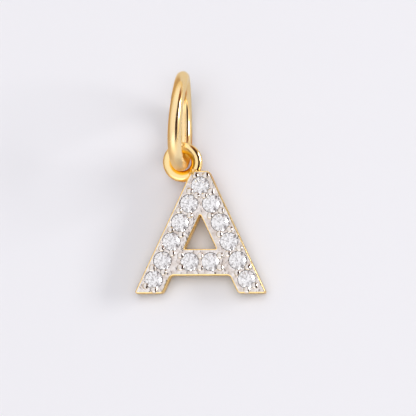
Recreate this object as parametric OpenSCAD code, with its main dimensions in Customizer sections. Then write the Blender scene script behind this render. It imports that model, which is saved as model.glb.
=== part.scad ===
// Initial pendant: a letter A set with round stones. A small ring is soldered to its
// top left corner and links it to a plain wire ring, which takes the chain.
//
// It lies on a flat surface. The letter's feet and the rim of the wire ring touch the
// surface, and the small ring rests in the wire ring's lower curve, which lifts the
// letter's top a little. Millimetres, +X right, +Y up the letter, +Z off the surface,
// with the origin on the surface under the middle of the whole.

/* [Stones] */
// Diameter of a stone
stone_d = 1.44; // [1.2:0.02:1.8]
// Width of a stone's table, as a share of its diameter
table_share = 0.57; // [0.5:0.01:0.65]
// Slope of the main facets above the girdle
crown_angle = 34; // [28:0.5:38]
// Slope of the main facets below the girdle
pavilion_angle = 40.8; // [38:0.2:43]
// Height of the girdle, the stone's straight edge
girdle_h = 0.05; // [0.03:0.01:0.08]
// Depth of the girdle's upper edge below the letter's face
girdle_deep = 0.1; // [0.04:0.01:0.16]
// Clearance round a stone in its seat
seat_gap = 0.03; // [0.02:0.005:0.05]

/* [Rows] */
// Stones in each leg, below the one at the top
leg_stones = 5; // [4:1:7]
// Gap between two stones of a leg
stone_gap = 0.24; // [0.15:0.005:0.4]
// Gap between the two legs' uppermost stones
neck_gap = 0.34; // [0.15:0.01:0.5]
// How far the crossbar's stones lie below those of the legs beside them
bar_drop = 0.1; // [0:0.02:0.2]
// Gap between the two stones of the crossbar
bar_gap = 0.24; // [0.15:0.01:0.5]

/* [Letter] */
// Thickness of the metal
letter_t = 1.6; // [1.4:0.1:3]
// Slope of the legs from upright
leg_angle = 25; // [22:0.2:29]
// Metal between a leg's stones and its outer edge
rim_out = 0.23; // [0.12:0.01:0.4]
// Metal between a leg's stones and the window
rim_in = 0.46; // [0.3:0.01:0.6]
// Metal between a leg's stones and its inner edge, below the crossbar
rim_leg = 0.38; // [0.3:0.01:0.6]
// Metal above the top stone
rim_top = 0.49; // [0.3:0.01:0.6]
// Metal below the lowest stone of a leg
rim_foot = 0.38; // [0.34:0.01:0.8]
// Metal above the crossbar's stones
rim_bar_top = 0.31; // [0.12:0.01:0.4]
// Metal below the crossbar's stones
rim_bar_low = 0.37; // [0.2:0.01:0.6]
// Radius of the top corners and of the feet's inner corners
corner_r = 0.32; // [0.1:0.02:0.4]
// Radius of the feet's outer corners
foot_r = 0.14; // [0.06:0.02:0.3]
// Radius of the two corners under the crossbar
gap_r = 0.36; // [0.1:0.02:0.5]
// Radius of the corners of the window
window_r = 0.08; // [0.04:0.01:0.16]

/* [Beads] */
// Diameter of the metal beads that hold the stones
bead_d = 0.54; // [0.44:0.02:0.64]
// Diameter of the two beads above the top stone
top_bead_d = 0.62; // [0.44:0.02:0.7]
// Distance from a row's middle line to the beads beside it
bead_side = 0.54; // [0.48:0.01:0.6]
// Depth of a bead's centre below the letter's face
bead_deep = 0.04; // [0:0.01:0.1]

/* [Small ring] */
// Outer diameter of the small ring
small_od = 3.2; // [2.8:0.05:4]
// Thickness of its wire
small_wire = 0.9; // [0.6:0.02:1]
// Direction from the letter's top left corner to the ring's centre
small_dir = 135; // [115:1:150]
// How far the middle of the wire lies inside the corner
small_in = 0.07; // [0:0.01:0.2]
// Height of the ring's centre above the middle of the metal
small_up = 0.1; // [-0.3:0.05:0.3]
// How far the ring tips up at its far side
small_tilt = 8; // [0:1:15]
// Diameter of the blob of solder
solder_d = 0.86; // [0.72:0.02:1.2]

/* [Wire ring] */
// Outer diameter of the wire ring
bail_od = 8; // [6.5:0.1:11]
// Thickness of its wire
bail_wire = 1.06; // [0.7:0.02:1.2]
// How far it leans to the left
bail_lean = 1; // [0:0.5:8]
// How far it is turned clockwise, seen from above
bail_turn = 2.5; // [0:0.5:8]
// How far its centre lies to the left of the small ring's
bail_left = 0; // [0:0.01:0.3]
// Where the small ring rests in it, as an angle from its lowest point
rest_angle = 50; // [30:1:70]
// Gap between the two wires there
rest_gap = 0.08; // [0.05:0.01:0.2]

/* [Hidden] */
GOLD = "#e8cf92";
WHITE = "#e9e9ee";
stone_r = stone_d / 2;
pitch = stone_d + stone_gap;

// Proportions of the round brilliant cut: the height of the star facets' outer
// corners in the crown, and the length of the lower girdle facets in the pavilion.
star_share = 0.6;
lower_share = 0.77;
SIDES = 8;
GIRDLE = 2 * SIDES;
step = 360 / GIRDLE;
table_r = stone_r * table_share;
crown_h = (stone_r - table_r) * tan(crown_angle);
pavilion_h = stone_r * tan(pavilion_angle);

// Heights in the letter, from the feet up. A leg's middle line passes through its
// stones, and the top stone is one pitch from the uppermost stone of either leg.
neck_x = (stone_d + neck_gap) / 2;
neck_y = rim_foot + stone_r + (leg_stones - 1) * pitch * cos(leg_angle);
top_y = neck_y + sqrt(pitch * pitch - neck_x * neck_x);
letter_h = top_y + stone_r + rim_top;
bar_y = rim_foot + stone_r + pitch * cos(leg_angle) - bar_drop;
bar_x = (stone_d + bar_gap) / 2;
bar_top = bar_y + stone_r + rim_bar_top;
bar_low = bar_y - stone_r - rim_bar_low;
face_z = letter_t;
girdle_z = face_z - girdle_deep;

function row_x(y) = neck_x + (neck_y - y) * tan(leg_angle);
function outer_x(y) = row_x(y) + (stone_r + rim_out) / cos(leg_angle);
function inner_x(y, rim) = row_x(y) - (stone_r + rim) / cos(leg_angle);
window_y = neck_y + (neck_x - (stone_r + rim_in) / cos(leg_angle)) / tan(leg_angle);

// A point beside the right leg's row: so many pitches below its uppermost stone,
// and so far out from the middle line.
function beside(steps, out) =
    let (y = neck_y - steps * pitch * cos(leg_angle))
    [row_x(y) + out * cos(leg_angle), y + out * sin(leg_angle)];

// The small ring, in the letter's own plane.
small_r = (small_od - small_wire) / 2;
small_reach = small_r - small_in;
small_x = -outer_x(letter_h) + small_reach * cos(small_dir);
small_y = letter_h + small_reach * sin(small_dir);
small_z = letter_t / 2 + small_up;
link_y = small_y + small_r * cos(small_tilt);
link_z = small_z + small_r * sin(small_tilt);

// The wire ring stands on the surface. The far side of the small ring lies inside
// its lower curve, and the letter tips about its feet until it does.
bail_r = (bail_od - bail_wire) / 2;
bail_z = bail_r * cos(bail_lean) + bail_wire / 2;
rest_r = bail_r - bail_wire / 2 - small_wire / 2 - rest_gap;
link_rise = bail_z - rest_r * cos(rest_angle);
tip = max(0, asin(link_rise / norm([link_y, link_z])) - atan2(link_z, link_y));
link_out = link_y * cos(tip) - link_z * sin(tip);
link_up = link_y * sin(tip) + link_z * cos(tip);
bail_x = small_x - bail_left;
bail_y = link_out + sqrt(max(0, pow(rest_r, 2) - pow(bail_z - link_up, 2)));
bail_reach = bail_r * sqrt(1 - pow(cos(bail_lean) * sin(bail_turn), 2)) + bail_wire / 2;
front_y = -letter_t * sin(tip);
middle_y = (front_y + bail_y + bail_reach) / 2;

// The places of the stones and of the beads, in the letter's own plane.
function flip(p) = [-p[0], p[1]];
function leg_place(i) = beside(i - 1, 0);
stone_places = concat(
    [[0, top_y], [-bar_x, bar_y], [bar_x, bar_y]],
    [for (i = [1:leg_stones]) leg_place(i)],
    [for (i = [1:leg_stones]) flip(leg_place(i))]);

// Beads of the right half: beside each gap in the leg, at the foot, at the neck and
// at the end of the crossbar.
foot_steps = leg_stones - 1 + stone_r / pitch;
foot_side = bead_side * 0.75;
neck_rise = top_y - neck_y;
neck_bead = [neck_x / 3, neck_y + neck_rise * 0.44];
shoulder = [neck_x, neck_y + top_y] / 2 + [neck_rise, neck_x] * bead_side / pitch;
half_beads = concat(
    [for (i = [1:leg_stones - 1]) for (side = [-1, 1]) beside(i - 0.5, side * bead_side)],
    [for (side = [-1, 1]) beside(foot_steps, side * foot_side)],
    [shoulder, neck_bead],
    [for (side = [-1, 1]) [bar_x + stone_r, bar_y + side * bead_side]]);
bead_places = concat(
    half_beads,
    [for (p = half_beads) flip(p)],
    [for (side = [-1, 1]) [0, bar_y + side * bead_side]]);
top_bead_place = [0.7 * top_bead_d, top_y + stone_r + rim_top - top_bead_d / 2 - seat_gap];

function unit(v) = v / norm(v);

// An outline with its corners rounded: each is [x, y, radius].
ARC_STEPS = 6;
function corner(p, q, s) =
    let (
        u = unit([p[0] - q[0], p[1] - q[1]]),
        v = unit([s[0] - q[0], s[1] - q[1]]),
        half = acos(u * v) / 2,
        mid = [q[0], q[1]] + unit(u + v) * q[2] / sin(half),
        from = u * q[2] / tan(half) + [q[0], q[1]] - mid,
        to = v * q[2] / tan(half) + [q[0], q[1]] - mid)
    [for (k = [0:ARC_STEPS]) mid + unit(from * (ARC_STEPS - k) + to * k) * q[2]];
function rounded(pts) =
    let (n = len(pts))
    [for (i = [0:n - 1]) each corner(pts[(i + n - 1) % n], pts[i], pts[(i + 1) % n])];

module outline() {
    right = [
        [outer_x(letter_h), letter_h, corner_r],
        [outer_x(0), 0, foot_r],
        [inner_x(0, rim_leg), 0, corner_r],
        [inner_x(bar_low, rim_leg), bar_low, gap_r]];
    left = [for (i = [len(right) - 1:-1:0]) [-right[i][0], right[i][1], right[i][2]]];
    difference() {
        polygon(rounded(concat(right, left)));
        polygon(rounded([
            [0, window_y, window_r],
            [inner_x(bar_top, rim_in), bar_top, window_r],
            [-inner_x(bar_top, rim_in), bar_top, window_r]]));
    }
}

// The mouth of a seat, cut into the plate before the beads go on: a little wider than
// the room for the stone, from the girdle's upper edge out past the letter's face.
mouth_r = stone_r + 2 * seat_gap;
past = girdle_deep;
module mouth() {
    cylinder(h = girdle_deep + past, r = mouth_r, $fn = 48);
}

// The room for one stone, which has the stone's own outline and is larger all round
// by the clearance. Above the girdle it shapes the beads that reach over the crown.
room_r = stone_r + seat_gap;
module room() {
    rotate_extrude($fn = 48) polygon([
        [0, -girdle_h - room_r * tan(pavilion_angle)],
        [room_r, -girdle_h],
        [room_r, seat_gap],
        [table_r + seat_gap, crown_h + seat_gap],
        [0, crown_h + seat_gap]]);
}

module ring(mid_r, wire) {
    rotate_extrude($fn = 64) translate([mid_r, 0]) circle(d = wire, $fn = 32);
}

// A round brilliant: a table, a crown of 8 stars, 8 kites and 16 girdle facets, and
// a pavilion of 16 girdle facets and 8 kites that meet in a point. Its girdle's
// upper edge is at height 0.
function spoke(k, r, z) = [r * cos(k * step), r * sin(k * step), z];
function after(k) = (k + 1) % SIDES;
module brilliant() {
    star_r = (stone_r - star_share * (stone_r - table_r)) / cos(step);
    lower_r = stone_r * (1 - lower_share) / cos(step);
    point_z = -girdle_h - pavilion_h;
    pts = concat(
        [for (k = [0:SIDES - 1]) spoke(2 * k + 1, table_r, crown_h)],
        [for (k = [0:SIDES - 1]) spoke(2 * k, star_r, crown_h * star_share)],
        [for (k = [0:GIRDLE - 1]) spoke(k, stone_r, 0)],
        [for (k = [0:GIRDLE - 1]) spoke(k, stone_r, -girdle_h)],
        [for (k = [0:SIDES - 1]) spoke(2 * k, lower_r, -girdle_h - pavilion_h * lower_share)],
        [[0, 0, point_z]]);

    // The first number of each ring of points above, after the table's own.
    star = SIDES;
    upper = star + SIDES;
    under = upper + GIRDLE;
    lower = under + GIRDLE;
    point = lower + SIDES;
    faces = concat(
        [[for (k = [SIDES - 1:-1:0]) k]],
        [for (k = [0:SIDES - 1]) [after(k), star + after(k), k]],
        [for (k = [0:SIDES - 1]) [k, star + after(k), upper + 2 * k + 1, star + k]],
        [for (k = [0:SIDES - 1]) [star + k, upper + 2 * k + 1, upper + 2 * k]],
        [for (k = [0:SIDES - 1]) [star + after(k), upper + 2 * after(k), upper + 2 * k + 1]],
        [for (k = [0:GIRDLE - 1]) let (n = (k + 1) % GIRDLE) [upper + k, upper + n, under + n, under + k]],
        [for (k = [0:SIDES - 1]) [under + 2 * k, under + 2 * k + 1, lower + k]],
        [for (k = [0:SIDES - 1]) [under + 2 * k + 1, under + 2 * after(k), lower + after(k)]],
        [for (k = [0:SIDES - 1]) [lower + k, under + 2 * k + 1, lower + after(k), point]]);
    polyhedron(pts, faces);
}

// Lays what is modelled in the letter's own plane down on the surface.
module laid() {
    translate([0, -middle_y, 0]) rotate([tip, 0, 0]) children();
}

module letter() color(WHITE) laid() {
    difference() {
        union() {
            difference() {
                linear_extrude(letter_t) outline();
                for (p = stone_places) translate([p[0], p[1], girdle_z]) mouth();
            }
            for (p = bead_places)
                translate([p[0], p[1], face_z - bead_deep]) sphere(d = bead_d, $fn = 24);
            for (p = [top_bead_place, flip(top_bead_place)])
                translate([p[0], p[1], face_z - bead_deep]) sphere(d = top_bead_d, $fn = 24);
        }
        for (p = stone_places) translate([p[0], p[1], girdle_z]) room();
    }
    translate([small_x, small_y, small_z]) rotate([small_tilt, 0, 0]) ring(small_r, small_wire);
    translate([-outer_x(letter_h) + small_wire / 8, letter_h - small_wire / 8, small_z])
        sphere(d = solder_d, $fn = 32);
}

module bail_ring() color(GOLD) {
    translate([bail_x, bail_y - middle_y, bail_z])
        rotate([0, 0, -bail_turn]) rotate([0, -bail_lean, 0]) rotate([0, 90, 0])
            ring(bail_r, bail_wire);
}

// Each stone is turned a little differently, as stones set by hand are. The turns
// down a leg go up in steps.
TOP_TURN = 9;
BAR_TURNS = [5, 31];
LEFT_TURN = 13;
RIGHT_TURN = 17;
module stone(place, turn) color("white") laid() {
    translate([place[0], place[1], girdle_z]) rotate([0, 0, turn]) brilliant();
}

letter();
bail_ring();
stone([0, top_y], TOP_TURN);  // stone_top
for (i = [1:leg_stones]) {
    stone(flip(leg_place(i)), i * LEFT_TURN);
    stone(leg_place(i), i * RIGHT_TURN);
}
stone([-bar_x, bar_y], BAR_TURNS[0]);  // stone_bar_1
stone([bar_x, bar_y], BAR_TURNS[1]);  // stone_bar_2
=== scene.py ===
# %% [markdown]
# # A letter pendant set with stones
# The pendant is a letter A of silver, thickly plated: rhodium on its face, which is white, and
# gold on its edges and back. Thirteen round stones sit in it, each held by small grains of the
# same metal. A small gold ring is soldered to its top corner, and a larger wire ring, the bail,
# runs through that one and takes the chain. The whole is 18 mm long.
#
# The construction model gives the place of each piece. Here its metal is modelled again, finer,
# and everything gets its finish, the light and the camera.

# %% Load the construction model
import math
import random

import bmesh
import bpy
from mathutils import Matrix, Vector


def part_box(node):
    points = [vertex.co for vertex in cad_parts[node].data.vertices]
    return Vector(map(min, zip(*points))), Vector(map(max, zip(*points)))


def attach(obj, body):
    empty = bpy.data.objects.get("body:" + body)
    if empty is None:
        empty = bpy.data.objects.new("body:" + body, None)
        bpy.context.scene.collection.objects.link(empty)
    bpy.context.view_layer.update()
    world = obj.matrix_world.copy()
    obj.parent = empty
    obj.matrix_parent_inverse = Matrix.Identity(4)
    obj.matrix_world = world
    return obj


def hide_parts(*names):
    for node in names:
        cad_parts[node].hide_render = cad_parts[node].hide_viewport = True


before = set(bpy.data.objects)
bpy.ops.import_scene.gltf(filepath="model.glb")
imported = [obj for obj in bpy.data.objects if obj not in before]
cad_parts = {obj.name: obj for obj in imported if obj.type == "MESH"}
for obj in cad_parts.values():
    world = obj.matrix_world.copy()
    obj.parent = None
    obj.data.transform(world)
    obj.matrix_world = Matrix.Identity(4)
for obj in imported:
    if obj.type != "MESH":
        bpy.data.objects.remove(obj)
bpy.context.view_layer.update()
print("construction model:", len(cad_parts), "pieces")

# %% [markdown]
# ## Where the letter lies
# The letter lies on its feet and slopes up to the small ring. It is far easier to model it flat,
# in millimetres, and to lay it down once at the end. The stones tell how it lies: they are the
# same all round, so the mean of a stone's corners is on its axis, and the line from the
# crossbar's two stones to the top stone is the letter's upright. One matrix then takes a point of
# the flat letter to its place, and its inverse takes the stones' places into the flat letter.

# %% Measure the letter's slope and the stones' places
MM = 0.001
LETTER_T = 1.6


def middle(node):
    """The mean of a node's corners, each counted once."""
    corners = {tuple(round(c, 8) for c in v.co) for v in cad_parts[node].data.vertices}
    return sum((Vector(c) for c in corners), Vector()) / len(corners)


upright = middle("stone_top") - (middle("stone_bar_1") + middle("stone_bar_2")) / 2
slope = math.atan2(upright.z, upright.y)
feet_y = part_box("letter")[0].y + LETTER_T * MM * math.sin(slope)
lay = Matrix.Translation((0, feet_y, 0)) @ Matrix.Rotation(slope, 4, "X") @ Matrix.Scale(MM, 4)

stones = {}
for name in sorted(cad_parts):
    if name.startswith("stone_"):
        stones[name] = (lay.inverted() @ middle(name)).to_2d()
print("the letter slopes by %.2f degrees and holds %d stones" % (math.degrees(slope), len(stones)))

# %% [markdown]
# ## The letter's outline
# The real letter is cast, then filed flat, so its outline is straight lines with small rounded
# corners. A modeller could draw it as a curve, but the rows of stones already say where the lines
# run: each edge keeps a set width of metal, its rim, beside its row. So the corners are worked out
# from the stones and the rims, one half is mirrored, and a vertex bevel rounds each corner.
#
# A vertex bevel is given how far it cuts back along the edges. For an arc of radius r in a corner
# of angle a that is r / tan(a / 2).

# %% Work out the corners from the rows of stones
STONE_R = 0.72
RIM_OUT, RIM_WINDOW, RIM_LEG = 0.23, 0.46, 0.38
RIM_TOP, RIM_OVER_BAR, RIM_UNDER_BAR = 0.49, 0.31, 0.37
TOP_R, TOE_R, HEEL_R, BAR_R, WINDOW_R = 0.32, 0.14, 0.32, 0.36, 0.06

top_stone, bar_stone = stones["stone_top"], stones["stone_bar_2"]
first, last = stones["stone_right_1"], stones["stone_right_5"]
along = (last - first).normalized()
lean = math.atan2(along.x, -along.y)


def edge_x(y, rim):
    """Where the leg's outer edge (rim > 0) or inner edge (rim < 0) is at height y."""
    on_row = first.x + (first.y - y) * math.tan(lean)
    return on_row + math.copysign(STONE_R + abs(rim), rim) / math.cos(lean)


letter_h = top_stone.y + STONE_R + RIM_TOP
bar_top = bar_stone.y + STONE_R + RIM_OVER_BAR
bar_low = bar_stone.y - STONE_R - RIM_UNDER_BAR
window_top = first.y + (first.x - (STONE_R + RIM_WINDOW) / math.cos(lean)) / math.tan(lean)

right_half = [
    (edge_x(letter_h, RIM_OUT), letter_h, TOP_R),
    (edge_x(0, RIM_OUT), 0, TOE_R),
    (edge_x(0, -RIM_LEG), 0, HEEL_R),
    (edge_x(bar_low, -RIM_LEG), bar_low, BAR_R),
]
outline = right_half + [(-x, y, r) for x, y, r in reversed(right_half)]
window = [
    (0, window_top, WINDOW_R),
    (edge_x(bar_top, -RIM_WINDOW), bar_top, WINDOW_R),
    (-edge_x(bar_top, -RIM_WINDOW), bar_top, WINDOW_R),
]
print("letter %.2f mm tall, %.2f mm wide before its corners are rounded" % (
    letter_h, 2 * edge_x(0, RIM_OUT)))

# %% Draw both outlines with rounded corners
ARC_STEPS = 8


def draw_outline(bm, corners):
    """A closed loop of edges through corners given as (x, y, radius)."""
    verts = [bm.verts.new((x, y, 0)) for x, y, _ in corners]
    bm.faces.new(verts)
    cuts = []
    for k, (v, (_, _, radius)) in enumerate(zip(verts, corners)):
        before = (verts[k - 1].co - v.co).normalized()
        after = (verts[(k + 1) % len(verts)].co - v.co).normalized()
        cuts.append(radius / math.tan(before.angle(after) / 2))
    for v, cut in zip(verts, cuts):
        bmesh.ops.bevel(
            bm, geom=[v], offset=cut, offset_type="OFFSET", affect="VERTICES",
            segments=ARC_STEPS, profile=0.5, material=-1)


plate = bmesh.new()
draw_outline(plate, outline)
draw_outline(plate, window)
print("outlines of", len(plate.edges), "edges")

# %% [markdown]
# ## The plate
# The plate is the outline raised to its thickness, with its edges softened by polishing. The gold
# shows all along that soft edge, because the white plating stops where the flat face ends.
#
# An edge bevel would be the usual tool, but it needs clean corners, and the filled face has long
# thin triangles that meet in each of them. Insetting the whole face moves only its rim, so a few
# insets that climb a quarter of a circle make the soft edge with no such trouble.

# %% Raise the plate and soften its edges
EDGE_R = 0.1
BACK_R = 0.05
INSETS = 4
LEVEL = 0.99


def soften(bm, cap, radius):
    """Insets a flat face along a quarter of a circle, so its rim is rounded."""
    for k in range(INSETS):
        a, b = (math.radians(90 * (k + i) / INSETS) for i in (0, 1))
        bmesh.ops.inset_region(
            bm, faces=cap, use_boundary=True, use_even_offset=True,
            thickness=radius * (math.cos(a) - math.cos(b)),
            depth=radius * (math.sin(b) - math.sin(a)))


bmesh.ops.delete(plate, geom=plate.faces[:], context="FACES_ONLY")
bmesh.ops.triangle_fill(plate, use_beauty=True, edges=plate.edges[:], normal=(0, 0, 1))
bmesh.ops.translate(plate, vec=(0, 0, BACK_R), verts=plate.verts[:])
raised = bmesh.ops.extrude_face_region(plate, geom=plate.faces[:])["geom"]
bmesh.ops.translate(
    plate, vec=(0, 0, LETTER_T - EDGE_R - BACK_R),
    verts=[g for g in raised if isinstance(g, bmesh.types.BMVert)])
bmesh.ops.recalc_face_normals(plate, faces=plate.faces[:])

face = [f for f in plate.faces if f.normal.z > LEVEL]
back = [f for f in plate.faces if f.normal.z < -LEVEL]
soften(plate, face, EDGE_R)
soften(plate, back, BACK_R)
heights = [v.co.z for v in plate.verts]
print("plate %.2f mm thick" % (max(heights) - min(heights)))

# %% [markdown]
# ## The seats
# The seats are turned with a bur on the real one: a short straight wall for the stone's girdle,
# its widest line, over a cone for its pavilion, which is its lower half. Thirteen knife cuts with
# a cone would do, but leave untidy edges. So the flat face is taken out and filled again round
# thirteen circles, the mouths of the seats, and each seat is its circle's edges, extruded down
# step by step.

# %% Open the face round thirteen mouths
SEAT_GAP = 0.025
MOUTH = 0.01
WALL = STONE_R + SEAT_GAP
SEAT_SIDES = 48
WHITE_FACE = 1

bmesh.ops.delete(plate, geom=face, context="FACES")
rims = [e for e in plate.edges if e.is_boundary]
mouths = {}
for name, spot in stones.items():
    circle = bmesh.ops.create_circle(
        plate, cap_ends=False, segments=SEAT_SIDES, radius=WALL + MOUTH,
        matrix=Matrix.Translation((spot.x, spot.y, LETTER_T)))["verts"]
    # Every edge is met at both its ends, and is kept once.
    mouths[name] = list(dict.fromkeys(e for v in circle for e in v.link_edges))
    rims += mouths[name]
filled = bmesh.ops.triangle_fill(plate, use_beauty=True, edges=rims, normal=(0, 0, 1))["geom"]
for f in filled:
    if isinstance(f, bmesh.types.BMFace):
        f.material_index = WHITE_FACE
print(len(mouths), "mouths, %.2f mm wide" % (2 * (WALL + MOUTH)))

# %% Sink the seats
GIRDLE_Z = LETTER_T - 0.15
PAVILION = math.radians(40.8)


def sink(bm, edges, spot, size, drop):
    """Extrudes a ring of edges to size times its width, further down. Returns the new ring."""
    new = bmesh.ops.extrude_edge_only(bm, edges=edges)["geom"]
    verts = [g for g in new if isinstance(g, bmesh.types.BMVert)]
    bmesh.ops.scale(
        bm, vec=(size, size, 1), space=Matrix.Translation((-spot.x, -spot.y, 0)), verts=verts)
    bmesh.ops.translate(bm, vec=(0, 0, -drop), verts=verts)
    for g in new:
        if isinstance(g, bmesh.types.BMFace):
            g.material_index = WHITE_FACE
            g.smooth = True
    return [g for g in new if isinstance(g, bmesh.types.BMEdge) and g.is_boundary]


# The ring's radius after each step, and how far the step goes down.
seat_steps = [
    (WALL, MOUTH),
    (WALL, LETTER_T - GIRDLE_Z - MOUTH),
    (WALL / 2, WALL / 2 * math.tan(PAVILION)),
    (WALL / 20, WALL * 0.45 * math.tan(PAVILION)),
]
for name, spot in stones.items():
    ring, radius = mouths[name], WALL + MOUTH
    for new_radius, drop in seat_steps:
        ring = sink(plate, ring, spot, new_radius / radius, drop)
        radius = new_radius
    bmesh.ops.contextual_create(plate, geom=ring)
bmesh.ops.recalc_face_normals(plate, faces=plate.faces[:])
print("seats %.2f mm deep, %.1f mm3 of metal" % (
    sum(drop for _, drop in seat_steps), plate.calc_volume()))

# %% [markdown]
# ## From a finished mesh to a piece
# Every piece is modelled flat, in millimetres, and becomes an object in the same few steps: its
# faces are shaded smooth up to a sharp angle, it is laid down, and the piece of the construction
# model that it stands for is hidden. Flat metal stays flat shaded, so that the long triangles of
# the filled face don't bend its reflections.

# %% Make the plate a piece
SHARP = math.radians(35)


def finish_piece(name, bm, place, node, smooth=True):
    """Makes an object of a mesh in millimetres, laid at its place."""
    if smooth:
        for f in bm.faces:
            f.smooth = True
    bmesh.ops.transform(bm, matrix=place, verts=bm.verts[:])
    mesh = bpy.data.meshes.new(name)
    bm.to_mesh(mesh)
    mesh.set_sharp_from_angle(angle=SHARP)
    obj = bpy.data.objects.new(name, mesh)
    bpy.context.scene.collection.objects.link(obj)
    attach(obj, "root")
    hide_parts(node)
    triangles = sum(len(f.verts) - 2 for f in bm.faces)
    closed = all(e.is_manifold for e in bm.edges)
    print("%s: %d triangles, closed: %s" % (name, triangles, closed))
    bm.free()
    return obj


for f in plate.faces:
    f.smooth = f.smooth or abs(f.normal.z) < LEVEL
letter_plate = finish_piece("letter_plate", plate, lay, "letter", smooth=False)

# %% [markdown]
# ## The grains
# The setter raises small grains of metal with a graver beside each stone, pushes them over its
# edge and rounds them with a hollow tool. So a grain is a little dome with a bite out of it where
# it lies on the stone. A sphere half sunk in the face gives the dome, and a plane along the
# stone's crown, its upper half, cuts the bite. A knife cut with a copy of the stone would do the
# same at more cost.
#
# Two grains stand beside each gap in a leg's row and two close its foot. The crossbar's stones
# have them between them and on their outer sides, and the ones above the top stone are a bit
# larger. No two are quite alike, so each gets a slightly different size and place.

# %% Place the grains beside the stones
GRAIN_R, TOP_GRAIN_R = 0.3, 0.31
GRAIN_SIDE = 0.48
FOOT_CLOSER = 0.75
INNER_RISE = 0.44
TOP_APART, TOP_EDGE = 1.4, 0.03

row = [stones["stone_right_%d" % k] for k in range(1, 6)]
outward = Vector((-along.y, along.x))
spots = []
for upper, lower in zip(row, row[1:]):
    spots += [(upper + lower) / 2 + outward * side * GRAIN_SIDE for side in (-1, 1)]
foot = last + along * STONE_R
spots += [foot + outward * side * GRAIN_SIDE * FOOT_CLOSER for side in (-1, 1)]
rise = top_stone.y - first.y
shoulder = Vector((rise, first.x)).normalized() * GRAIN_SIDE
spots.append((top_stone + first) / 2 + shoulder)
spots.append(Vector((first.x / 3, first.y + rise * INNER_RISE)))
spots += [bar_stone + Vector((STONE_R, side * GRAIN_SIDE)) for side in (-1, 1)]

grains = [(p, GRAIN_R) for p in spots]
top_spot = Vector((TOP_APART * TOP_GRAIN_R, letter_h - TOP_GRAIN_R - TOP_EDGE))
grains.append((top_spot, TOP_GRAIN_R))
grains += [(Vector((-p.x, p.y)), r) for p, r in grains]
grains += [(Vector((0, bar_stone.y + side * GRAIN_SIDE)), GRAIN_R) for side in (-1, 1)]
print(len(grains), "grains")

# %% Make the grains
GRAIN_DEEP, GRAIN_RISE = 0.04, 0.6
GRAIN_STRAY, GRAIN_SMALLEST = 0.03, 0.9
CROWN, GIRDLE_TOP = math.radians(34), 0.05
setter = random.Random(4)


def bite(bead, spot, stone):
    """Cuts a bead off along the crown of a stone, and closes the cut."""
    to_bead = (spot - stone).normalized()
    edge = stone + to_bead * WALL
    crown = Vector((*(to_bead * math.sin(CROWN)), math.cos(CROWN)))
    cut = bmesh.ops.bisect_plane(
        bead, geom=bead.verts[:] + bead.edges[:] + bead.faces[:], clear_inner=True,
        plane_co=(edge.x, edge.y, GIRDLE_Z + GIRDLE_TOP + SEAT_GAP), plane_no=crown)["geom_cut"]
    edges = [g for g in cut if isinstance(g, bmesh.types.BMEdge)]
    bmesh.ops.contextual_create(bead, geom=edges)


beads = bmesh.new()
for spot, radius in grains:
    stray = [setter.uniform(-GRAIN_STRAY, GRAIN_STRAY) for _ in "xy"]
    spot, radius = spot + Vector(stray), radius * setter.uniform(GRAIN_SMALLEST, 1.0)
    bead = bmesh.new()
    bmesh.ops.create_uvsphere(
        bead, u_segments=24, v_segments=16, radius=radius,
        matrix=Matrix.Translation((spot.x, spot.y, LETTER_T - GRAIN_DEEP))
        @ Matrix.Diagonal((1, 1, GRAIN_RISE, 1)))
    for stone in stones.values():
        if (spot - stone).length < radius + WALL:
            bite(bead, spot, stone)
    bead_mesh = bpy.data.meshes.new("bead")
    bead.to_mesh(bead_mesh)
    beads.from_mesh(bead_mesh)
    bpy.data.meshes.remove(bead_mesh)
    bead.free()
letter_beads = finish_piece("letter_beads", beads, lay, "letter")

# %% [markdown]
# ## The rings
# Both rings are round wire, bent round a mandrel, soldered shut and polished. A ring could come
# from the torus tool; here its wire's section, a circle, is spun once round the ring's axis, which
# is how the wire really goes. The small ring was pressed a little flatter on top as it was set
# down, and is soldered on with its far side a little up. Its wire bites a little into the corner,
# which gives the solder something to hold.

# %% Spin the small ring
WIRE_SIDES, RING_STEPS = 40, 128


def spin_ring(outer_d, wire_d, place, flat=1.0):
    """A ring of wire with its axis along z, its top pressed flatter, then laid at its place."""
    bm = bmesh.new()
    on_edge = Matrix.Rotation(math.pi / 2, 4, "X")
    section = bmesh.ops.create_circle(
        bm, cap_ends=False, segments=WIRE_SIDES, radius=wire_d / 2,
        matrix=Matrix.Translation(((outer_d - wire_d) / 2, 0, 0)) @ on_edge)["verts"]
    bmesh.ops.spin(
        bm, geom=section + bm.edges[:], cent=(0, 0, 0), axis=(0, 0, 1), angle=2 * math.pi,
        steps=RING_STEPS, use_merge=True)
    bmesh.ops.scale(bm, vec=(1, 1, flat), verts=[v for v in bm.verts if v.co.z > 0])
    bmesh.ops.transform(bm, matrix=place, verts=bm.verts[:])
    bmesh.ops.recalc_face_normals(bm, faces=bm.faces[:])
    return bm


SMALL_OD, SMALL_WIRE, SMALL_FLAT = 3.2, 0.9, 0.72
SMALL_DIR, SMALL_TILT = math.radians(135), math.radians(8)
SMALL_RAISED = 0.1
SMALL_BITE = 0.07
corner = Vector((-edge_x(letter_h, RIM_OUT), letter_h, LETTER_T / 2 + SMALL_RAISED))
small_reach = (SMALL_OD - SMALL_WIRE) / 2 - SMALL_BITE
small_middle = corner + small_reach * Vector((math.cos(SMALL_DIR), math.sin(SMALL_DIR), 0))
small_bm = spin_ring(
    SMALL_OD, SMALL_WIRE, Matrix.Translation(small_middle) @ Matrix.Rotation(SMALL_TILT, 4, "X"),
    SMALL_FLAT)
small_ring = finish_piece("small_ring", small_bm, lay, "letter")

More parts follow.
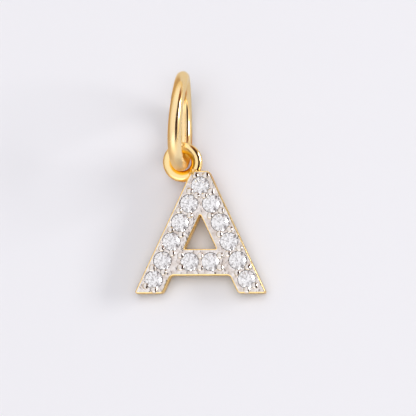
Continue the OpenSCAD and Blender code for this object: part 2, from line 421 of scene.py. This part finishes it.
# %% [markdown]
# The wire ring stands on its rim, a few degrees off upright and off the letter's own direction.
# It keeps the place of the construction model's, whose box has the same middle. It was opened
# sideways to put it on and closed again, which leaves it bent a little out of its plane. That bend
# is the product of how far along and how far across the ring a point is, a gentle saddle.

# %% Spin the wire ring
BAIL_OD, BAIL_WIRE = 8.0, 1.06
BAIL_TURN, BAIL_LEAN = math.radians(-2.5), math.radians(-1)
BEND = 0.017

bail_low, bail_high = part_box("bail_ring")
bail_turns = (
    Matrix.Rotation(BAIL_TURN, 4, "Z")
    @ Matrix.Rotation(BAIL_LEAN, 4, "Y")
    @ Matrix.Rotation(math.radians(90), 4, "Y"))
bail_place = Matrix.Translation((bail_low + bail_high) / 2) @ Matrix.Scale(MM, 4) @ bail_turns
bail_bm = spin_ring(BAIL_OD, BAIL_WIRE, Matrix.Identity(4))
for v in bail_bm.verts:
    v.co.z -= BEND * v.co.x * v.co.y
chain_ring = finish_piece("chain_ring", bail_bm, bail_place, "bail_ring")

# %% [markdown]
# ## The solder
# Where the small ring meets the corner, solder has flowed round the wire and left an uneven
# little blob. It is a sphere of fine faces whose points are pushed in and out by random amounts and
# then evened out, because melted metal has swells but no edges.

# %% Make the blob of solder
SOLDER_R = 0.43
SOLDER_SWELL, EVENINGS = 0.12, 12
flow = random.Random(11)

solder_bm = bmesh.new()
solder_middle = corner + Vector((SMALL_WIRE / 8, -SMALL_WIRE / 8, 0))
bmesh.ops.create_icosphere(
    solder_bm, subdivisions=4, radius=SOLDER_R, matrix=Matrix.Translation(solder_middle))
for v in solder_bm.verts:
    v.co += v.normal * flow.uniform(-SOLDER_SWELL, SOLDER_SWELL)
for _ in range(EVENINGS):
    bmesh.ops.smooth_vert(
        solder_bm, verts=solder_bm.verts[:], factor=0.5, use_axis_x=True, use_axis_y=True,
        use_axis_z=True)
solder = finish_piece("solder", solder_bm, lay, "letter")

# %% [markdown]
# ## Helpers for the finishes
# A designer picks colours as they look on a screen, in sRGB, while light adds up in linear values.
# One function turns the first into the second. Another adds a shader node, sets its options and
# fills its sockets, from a number or from another node's output, so a finish reads as a short list.
# A Mix node has a set of sockets for each kind of value, and those for colours go by number.

# %% Colour and node helpers
MIX_A, MIX_B, MIXED = 6, 7, 2


def colour(code):
    """A screen colour such as "#e8cf92" as linear red, green, blue and alpha."""
    parts = [int(code[k:k + 2], 16) / 255 for k in (1, 3, 5)]
    linear = [c / 12.92 if c <= 0.04045 else ((c + 0.055) / 1.055) ** 2.4 for c in parts]
    return (*linear, 1.0)


def add(tree, kind, sockets, **options):
    """Adds a node to a tree. A socket given an output is linked to it, any other value is set."""
    node = tree.nodes.new(kind)
    for key, value in options.items():
        setattr(node, key, value)
    for key, value in sockets.items():
        if isinstance(value, bpy.types.NodeSocket):
            tree.links.new(value, node.inputs[key])
        else:
            node.inputs[key].default_value = value
    return node


def new_material(name):
    """An empty node material, its tree, and the place of a point on the piece."""
    material = bpy.data.materials.new(name)
    material.use_nodes = True
    tree = material.node_tree
    tree.nodes.clear()
    return material, tree, add(tree, "ShaderNodeTexCoord", {}).outputs["Object"]


def coat(material, shader, *pieces):
    """Ends a material with its shader and gives it to pieces."""
    add(material.node_tree, "ShaderNodeOutputMaterial", {"Surface": shader.outputs["BSDF"]})
    for piece in pieces:
        piece.data.materials.append(material)
    print(material.name, "is on", ", ".join(piece.name for piece in pieces))


print("a pale gold in linear values:", [round(c, 2) for c in colour("#f8dc9f")])

# %% [markdown]
# ## Scratches and nearness
# Two things come back in several finishes. Polishing leaves hairline scratches, which make the
# metal a little rougher here and there. They are finer than a pixel, so they are drawn coarser.
# And a few finishes change close to one point, such as where one ring rubs on the other, or where
# light between the rings is painted in.

# %% Two helpers that the finishes share
PER_M = 1000.0
SCRATCH = 0.09


def scratched(tree, where, low, high):
    """A roughness between low and high, with hairline scratches."""
    hairline = add(tree, "ShaderNodeTexNoise", {
        "Vector": where, "Scale": PER_M / SCRATCH, "Detail": 3.0})
    return add(tree, "ShaderNodeMapRange", {
        "Value": hairline.outputs["Fac"], "From Min": 0.35, "From Max": 0.75,
        "To Min": low, "To Max": high}).outputs["Result"]


def nearness(tree, where, point, far, near):
    """Goes from 0 to 1 as the distance to a point goes from far to near, in millimetres."""
    away = add(tree, "ShaderNodeVectorMath", {0: where, 1: point}, operation="DISTANCE")
    return add(tree, "ShaderNodeMapRange", {
        "Value": away.outputs["Value"], "From Min": far * MM, "From Max": near * MM,
    }).outputs["Result"]


print("scratches are drawn %.2f mm apart" % SCRATCH)

# %% [markdown]
# ## Gold
# The gold is vermeil: 18 carat yellow gold plated on polished silver. Polished metal has no colour
# of its own, it tints what it mirrors, and it does so twice or three times where one part mirrors
# another. So the finish is a metal with gold's reflectance and a low roughness, with the faint
# orange-peel swell that a buffing wheel leaves.
#
# Where the two rings face each other, light goes to and fro between them and comes out a deep
# orange. The render alone makes that too pale, so both kinds of gold get a deeper colour close to
# the middle of the small ring. That takes in its inner wall and the wire in its hole, and nothing
# else.

# %% Polished gold
SWELL = 1.2
PAINTED_BOUNCE_GOLD = "#ffd65a"

gold, tree, where = new_material("polished_yellow_gold")
swell = add(tree, "ShaderNodeTexNoise", {"Vector": where, "Scale": PER_M / SWELL, "Detail": 1.0})
bump = add(tree, "ShaderNodeBump", {
    "Height": swell.outputs["Fac"], "Strength": 0.12, "Distance": 0.05 * MM})
# Painted light: close to the small ring's middle the gold turns a deeper orange, for the light
# bounced between the rings.
gold_and_painted_bounce = add(tree, "ShaderNodeMix", {
    "Factor": nearness(tree, where, lay @ small_middle, far=1.05, near=0.78),
    MIX_A: colour("#f8dc9f"), MIX_B: colour(PAINTED_BOUNCE_GOLD)}, data_type="RGBA")
shader = add(tree, "ShaderNodeBsdfPrincipled", {
    "Base Color": gold_and_painted_bounce.outputs[MIXED], "Metallic": 1.0, "Specular Tint": colour("#ffe4b8"),
    "Roughness": scratched(tree, where, low=0.12, high=0.18), "Normal": bump.outputs["Normal"]})
coat(gold, shader, letter_plate, small_ring, solder)

# %% [markdown]
# The wire ring shows one thing more. Wire is drawn through a round hole in a hard plate, and faint
# lines run along it for its whole length. A pattern that depends on how far across the ring and
# how far from its axis a point is, but not on how far round, makes just such lines. A Mapping
# node of the Texture kind undoes the ring's place and turn, so a point comes out in the ring's own
# directions, and the two distances are taken from there. The real lines are finer than a pixel, so
# they are drawn coarser.

# %% The lines of the draw plate
LINE = 0.2

wire_gold, tree, where = new_material("drawn_gold_wire")
own = add(tree, "ShaderNodeMapping", {
    "Vector": where, "Location": bail_place.translation,
    "Rotation": (bail_place.to_3x3() @ Matrix.Scale(PER_M, 3)).to_euler()},
    vector_type="TEXTURE")
side = add(tree, "ShaderNodeSeparateXYZ", {"Vector": own.outputs["Vector"]})
flat = add(tree, "ShaderNodeCombineXYZ", {"X": side.outputs["X"], "Y": side.outputs["Y"]})
radius = add(tree, "ShaderNodeVectorMath", {0: flat.outputs["Vector"]}, operation="LENGTH")
section = add(tree, "ShaderNodeCombineXYZ", {"X": radius.outputs["Value"], "Y": side.outputs["Z"]})
lines = add(tree, "ShaderNodeTexNoise", {
    "Vector": section.outputs["Vector"], "Scale": PER_M / LINE, "Detail": 2.0})
bump = add(tree, "ShaderNodeBump", {
    "Height": lines.outputs["Fac"], "Strength": 0.25, "Distance": 0.04 * MM})
print("drawn lines %.1f mm apart" % LINE)

# %% [markdown]
# At its low end the small ring has rubbed the wire, so toward that point it gets duller. Its gold
# is also painted paler there, a painted brightening of that end, which mirrors the shaded card and
# letter below it. The point is the middle of the ring's box, moved to the box's front.

# %% Gold wire, rubbed at its low end and painted paler there
RUBBED_DULLER = 0.2

rubbed = (bail_low + bail_high) / 2
rubbed.y = bail_low.y
rubbed_and_brightened = nearness(tree, where, rubbed, far=4.4, near=2.8)
dull = add(tree, "ShaderNodeMath", {
    0: rubbed_and_brightened, 1: RUBBED_DULLER, 2: scratched(tree, where, low=0.14, high=0.22)},
    operation="MULTIPLY_ADD")
# Painted light: toward the low end the gold is painted paler, to brighten the shade it mirrors
# there.
painted_pale = add(tree, "ShaderNodeMix", {
    "Factor": rubbed_and_brightened, MIX_A: colour("#f5d9a4"), MIX_B: colour("#ffe9bb")}, data_type="RGBA")
# Painted light: the same deeper orange, for light bounced between the rings, near the small ring's
# middle.
gold_and_painted_bounce = add(tree, "ShaderNodeMix", {
    "Factor": nearness(tree, where, lay @ small_middle, far=1.5, near=1.1),
    MIX_A: painted_pale.outputs[MIXED], MIX_B: colour(PAINTED_BOUNCE_GOLD)}, data_type="RGBA")
shader = add(tree, "ShaderNodeBsdfPrincipled", {
    "Base Color": gold_and_painted_bounce.outputs[MIXED], "Metallic": 1.0, "Specular Tint": colour("#fff2d8"),
    "Roughness": dull.outputs["Value"], "Normal": bump.outputs["Normal"]})
coat(wire_gold, shader, chain_ring)

# %% [markdown]
# ## Rhodium
# The face is plated with rhodium, a hard white metal a little greyer than silver, so that the
# stones look whiter and larger. It was cut bright with a graver, which leaves soft facets about a
# third of a millimetre wide, so its reflections break up more than the gold's.

# %% Bright-cut white metal
FACET = 0.35

rhodium, tree, where = new_material("bright_cut_rhodium")
facets = add(tree, "ShaderNodeTexNoise", {"Vector": where, "Scale": PER_M / FACET, "Detail": 2.0})
patches = add(tree, "ShaderNodeMapRange", {
    "Value": facets.outputs["Fac"], "From Min": 0.35, "From Max": 0.65})
grey = add(tree, "ShaderNodeMix", {
    "Factor": patches.outputs["Result"], MIX_A: colour("#cbc0b8"), MIX_B: colour("#e6e2df")},
    data_type="RGBA")
bump = add(tree, "ShaderNodeBump", {
    "Height": facets.outputs["Fac"], "Strength": 1.0, "Distance": 0.13 * MM})
shader = add(tree, "ShaderNodeBsdfPrincipled", {
    "Base Color": grey.outputs[MIXED], "Metallic": 1.0,
    "Roughness": scratched(tree, where, low=0.1, high=0.24), "Normal": bump.outputs["Normal"]})
coat(rhodium, shader, letter_plate)

# %% [markdown]
# The grains are the same metal, but the hollow tool that rounds them also burnishes them. They are
# smoother and whiter than the face, and each mirrors the whole tent, so it shows a bright spot and
# a dark one. The tool rocks as it turns, and the faint flats that it leaves keep those spots small.

# %% Burnished white metal
HOLLOW = 0.28

burnished, tree, where = new_material("burnished_rhodium")
hollow = add(tree, "ShaderNodeTexNoise", {"Vector": where, "Scale": PER_M / HOLLOW, "Detail": 1.0})
bump = add(tree, "ShaderNodeBump", {
    "Height": hollow.outputs["Fac"], "Strength": 1.0, "Distance": 0.07 * MM})
shader = add(tree, "ShaderNodeBsdfPrincipled", {
    "Base Color": colour("#ddd8d3"), "Metallic": 1.0,
    "Roughness": scratched(tree, where, low=0.01, high=0.06), "Normal": bump.outputs["Normal"]})
coat(burnished, shader, letter_beads)

# %% [markdown]
# ## The stones
# The stones are cubic zirconia, cut as round brilliants and polished. It bends light more than
# glass, with an index near 2.15, so most of what enters a stone is thrown back out of its top, and
# the facets show as a pattern of light and dark. The construction model already has each facet, so
# the pieces stay and only get the material. A trace of haze stands for what fingers leave.

# %% Clear cut stones
SMEAR = 0.5

cut_pieces = [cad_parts[name] for name in stones]
for piece in cut_pieces:
    piece.data.materials.clear()

zirconia, tree, where = new_material("cubic_zirconia")
smear = add(tree, "ShaderNodeTexNoise", {"Vector": where, "Scale": PER_M / SMEAR, "Detail": 2.0})
haze = add(tree, "ShaderNodeMapRange", {
    "Value": smear.outputs["Fac"], "From Min": 0.45, "From Max": 0.8,
    "To Min": 0.0, "To Max": 0.04})
shader = add(tree, "ShaderNodeBsdfPrincipled", {
    "Base Color": colour("#ffffff"), "Roughness": haze.outputs["Result"], "IOR": 2.15,
    "Transmission Weight": 1.0})
coat(zirconia, shader, *cut_pieces)

# %% [markdown]
# ## The floor
# The pendant lies on smooth white card, a plain matt square that reaches past the edge of any view.

# %% Lay the card
CARD_HALF = 1.0

card_bm = bmesh.new()
bmesh.ops.create_grid(card_bm, x_segments=1, y_segments=1, size=CARD_HALF)
card_mesh = bpy.data.meshes.new("card")
card_bm.to_mesh(card_mesh)
card_bm.free()
card = bpy.data.objects.new("card", card_mesh)
bpy.context.scene.collection.objects.link(card)
print("card %.0f m square" % (2 * CARD_HALF))

# %% [markdown]
# What the metal mirrors of the card is set apart from how it looks, and both parts of it are
# painted light.
# To the left it is a warmer, darker colour, a painted reflection of the shaded card on that side.
# Under the rings the card is orange, with the light that the gold throws down on it, painted in.
# Only glossy rays see either, so the card itself stays plain.

# %% Finish the card
PAINTED_SHADE_FROM, PAINTED_SHADE_TO = -3 * MM, -9 * MM

matt, tree, where = new_material("white_card")
across = add(tree, "ShaderNodeSeparateXYZ", {"Vector": where}).outputs["X"]
leftward = add(tree, "ShaderNodeMapRange", {
    "Value": across, "From Min": PAINTED_SHADE_FROM, "From Max": PAINTED_SHADE_TO})
# Painted reflection: the metal sees the card warmer and darker toward the left, as shade.
painted_shade_left = add(tree, "ShaderNodeMix", {
    "Factor": leftward.outputs["Result"], MIX_A: colour("#ffffff"), MIX_B: colour("#dcbe98")},
    data_type="RGBA")
# Painted light: under the rings the metal sees the card orange, for the light that the gold throws
# down.
under_rings = (lay @ small_middle).to_2d().to_3d()
mirrored = add(tree, "ShaderNodeMix", {
    "Factor": nearness(tree, where, under_rings, far=3.6, near=2.0),
    MIX_A: painted_shade_left.outputs[MIXED], MIX_B: colour("#f2a238")}, data_type="RGBA")
path = add(tree, "ShaderNodeLightPath", {}).outputs
seen = add(tree, "ShaderNodeMix", {
    "Factor": path["Is Glossy Ray"], MIX_A: colour("#f1f0f4"), MIX_B: mirrored.outputs[MIXED]},
    data_type="RGBA")
shader = add(tree, "ShaderNodeBsdfPrincipled", {
    "Base Color": seen.outputs[MIXED], "Roughness": 0.8, "Specular IOR Level": 0.2})
coat(matt, shader, card)

# %% [markdown]
# ## Camera
# The camera looks down on the letter, from a touch right of its middle and a touch below, so that
# a sliver of the gold walls shows. It is a long lens far away, as for all small things, which
# keeps the near end of the wire ring from looking larger. The frame is square, and its middle
# is on the letter's face, just right of the window. The view is Standard, so that a colour comes
# out on the screen as its code says.

# %% Set up the camera
FRAME_MM = 33.28
LENS, SENSOR = 200.0, 36.0
FROM_RIGHT, FROM_BELOW = math.radians(4.8), math.radians(4.6)
AIM_X, AIM_Y = 0.634, 6.82

aim_at = lay @ Vector((AIM_X, AIM_Y, LETTER_T))
letter_turn = lay.to_3x3()
view_dir = (letter_turn @ Vector((math.tan(FROM_RIGHT), -math.tan(FROM_BELOW), 1))).normalized()
side_dir = (letter_turn @ Vector((0, 1, 0))).cross(view_dir).normalized()
far = LENS / SENSOR * FRAME_MM * MM

camera_data = bpy.data.cameras.new("camera")
camera_data.lens, camera_data.sensor_width = LENS, SENSOR
camera_data.clip_start, camera_data.clip_end = 0.005, 10
camera = bpy.data.objects.new("camera", camera_data)
bpy.context.scene.collection.objects.link(camera)
turn = Matrix((side_dir, view_dir.cross(side_dir), view_dir)).transposed().to_4x4()
camera.matrix_world = Matrix.Translation(aim_at + view_dir * far) @ turn
bpy.context.scene.camera = camera
bpy.context.scene.view_settings.view_transform = "Standard"
print("camera %.0f mm away, %.1f degrees above the floor" % (
    far / MM, math.degrees(math.asin(view_dir.z))))

# %% [markdown]
# ## Light
# Jewellery is photographed in a tent of white cloth, so that polished metal has something white to
# mirror. The tent is the world here: white overhead, dimmer and warmer near the floor, brighter in
# front, where a reflector stands, and a little at the back. Its right side is open to the lamp, and
# between the cloth and the lamp is a dark gap that runs the length of the tent, fades near the
# floor and is browner toward the back. The metal shows it as a thin dark line beside a bright one,
# and without that line it would look like plastic.
#
# The world's shader gets the direction that a ray leaves in. Its z says how high the ray goes, its
# x how far to the right and its y how far back. Each part of the tent is a smooth step along one
# of them, given as where it starts and ends and what it goes from and to. The camera's own dark
# lens shows in the stones, so how close a ray goes to it is one more.

# %% The parts of the tent
LENS_FROM, LENS_TO = math.cos(math.radians(11)), math.cos(math.radians(9))

world = bpy.data.worlds.new("tent")
bpy.context.scene.world = world
world.use_nodes = True
tree = world.node_tree
tree.nodes.clear()
ray = add(tree, "ShaderNodeTexCoord", {}).outputs["Generated"]
parts = add(tree, "ShaderNodeSeparateXYZ", {"Vector": ray})
height, right, rear = parts.outputs["Z"], parts.outputs["X"], parts.outputs["Y"]
lensward = add(tree, "ShaderNodeVectorMath", {0: ray, 1: view_dir}, operation="DOT_PRODUCT")

tent = {}
for part, value, start, end, low, high in (
        ("cloth", height, 0.0, 0.9, 0.8, 1.12),
        ("lit side", right, 0.78, 0.86, 0.0, 0.5),
        ("front", rear, -0.55, -0.85, 0.0, 0.65),
        ("back", rear, 0.35, 0.8, 0.0, 0.18),
        ("gap from", right, 0.27, 0.35, 0.0, 1.0),
        ("gap to", right, 0.83, 0.78, 0.0, 1.0),
        ("gap foot", height, 0.15, 0.4, 0.0, 1.0),
        ("white", height, 0.0, 0.45, 0.0, 1.0),
        ("brown", rear, 0.35, 0.75, 0.0, 1.0),
        ("lens", lensward.outputs["Value"], LENS_FROM, LENS_TO, 0.0, 1.0),
        ("overhead", height, 0.8, 1.0, 0.24, 3.2)):
    tent[part] = add(tree, "ShaderNodeMapRange", {
        "Value": value, "From Min": start, "From Max": end, "To Min": low, "To Max": high},
        interpolation_type="SMOOTHSTEP").outputs["Result"]
print("the tent has", len(tent), "parts")

# %% [markdown]
# The brightness of the tent is the sum of its bright parts. Its gap is where all three limits of
# the gap hold, so they are multiplied, and it takes the place of the cloth's colour.

# %% The tent's brightness and colour
brightness, gap = tent["cloth"], tent["gap from"]
for part in ("lit side", "front", "back"):
    brightness = add(tree, "ShaderNodeMath", {
        0: brightness, 1: tent[part]}, operation="ADD").outputs["Value"]
for part in ("gap to", "gap foot"):
    gap = add(tree, "ShaderNodeMath", {
        0: gap, 1: tent[part]}, operation="MULTIPLY").outputs["Value"]
path = add(tree, "ShaderNodeLightPath", {}).outputs
lens_seen = add(tree, "ShaderNodeMath", {
    0: tent["lens"], 1: path["Is Transmission Ray"]}, operation="MULTIPLY").outputs["Value"]

cloth_tint = add(tree, "ShaderNodeMix", {
    "Factor": tent["white"], MIX_A: colour("#f4e0b4"), MIX_B: colour("#fffdff")},
    data_type="RGBA").outputs[MIXED]
gap_tint = add(tree, "ShaderNodeMix", {
    "Factor": tent["brown"], MIX_A: colour("#34120c"), MIX_B: colour("#9c5e2a")},
    data_type="RGBA").outputs[MIXED]
tint = add(tree, "ShaderNodeMix", {
    "Factor": gap, MIX_A: cloth_tint, MIX_B: gap_tint}, data_type="RGBA").outputs[MIXED]
tint = add(tree, "ShaderNodeMix", {
    "Factor": lens_seen, MIX_A: tint, MIX_B: colour("#77726f")}, data_type="RGBA").outputs[MIXED]
print("world of", len(tree.nodes), "nodes")

# %% [markdown]
# Two skies share the world. The metal and the stones see the tent. The card is lit by a plainer,
# cooler one, strongest overhead for soft shadows, and so is every ray that has touched the card,
# which is what the diffuse depth counts. In the stones the tent is mixed with some grey, for the
# haze of light that a lens spreads over such small bright things. The camera itself sees plain
# pale grey.

# %% The two skies
STONE_HAZE = 0.38

mirrored = add(tree, "ShaderNodeBackground", {"Color": tint, "Strength": brightness})
on_card = add(tree, "ShaderNodeBackground", {
    "Color": colour("#fcfcff"), "Strength": tent["overhead"]})
plain = add(tree, "ShaderNodeBackground", {"Color": colour("#f1eff4"), "Strength": 1.0})
hazy = add(tree, "ShaderNodeMath", {
    0: path["Is Transmission Ray"], 1: STONE_HAZE}, operation="MULTIPLY")
in_stones = add(tree, "ShaderNodeMixShader", {
    0: hazy.outputs["Value"],
    1: mirrored.outputs["Background"], 2: plain.outputs["Background"]})
either = add(tree, "ShaderNodeMixShader", {
    0: path["Diffuse Depth"], 1: in_stones.outputs["Shader"], 2: on_card.outputs["Background"]})
seen = add(tree, "ShaderNodeMixShader", {
    0: path["Is Camera Ray"], 1: either.outputs["Shader"], 2: plain.outputs["Background"]})
add(tree, "ShaderNodeOutputWorld", {"Surface": seen.outputs["Shader"]})
print("world of", len(tree.nodes), "nodes in all")

# %% [markdown]
# The lamp is a softbox low on the right. It throws the soft shadows to the left and puts a white
# line on the gold. Its light counts only where it lands first: sent on by the gold walls, it would
# lie on the card as a warm patch, which a real set avoids with a black flag.

# %% The lamp
LAMP_WAY, LAMP_FAR = Vector((1.0, 0.18, 0.43)), 0.8
LAMP_W, LAMP_H, LAMP_POWER = 0.4, 0.2, 2.7

lamp_data = bpy.data.lights.new("softbox", "AREA")
lamp_data.shape = "RECTANGLE"
lamp_data.size, lamp_data.size_y = LAMP_W, LAMP_H
lamp_data.energy = LAMP_POWER
lamp_data.cycles.max_bounces = 0
lamp = bpy.data.objects.new("softbox", lamp_data)
bpy.context.scene.collection.objects.link(lamp)
lamp_place = LAMP_WAY.normalized() * LAMP_FAR
lamp_turn = (-lamp_place).to_track_quat("-Z", "Y").to_matrix().to_4x4()
lamp.matrix_world = Matrix.Translation(lamp_place) @ lamp_turn
print("softbox %.1f m away, %.0f degrees above the floor" % (
    LAMP_FAR, math.degrees(math.asin(lamp_place.z / LAMP_FAR))))
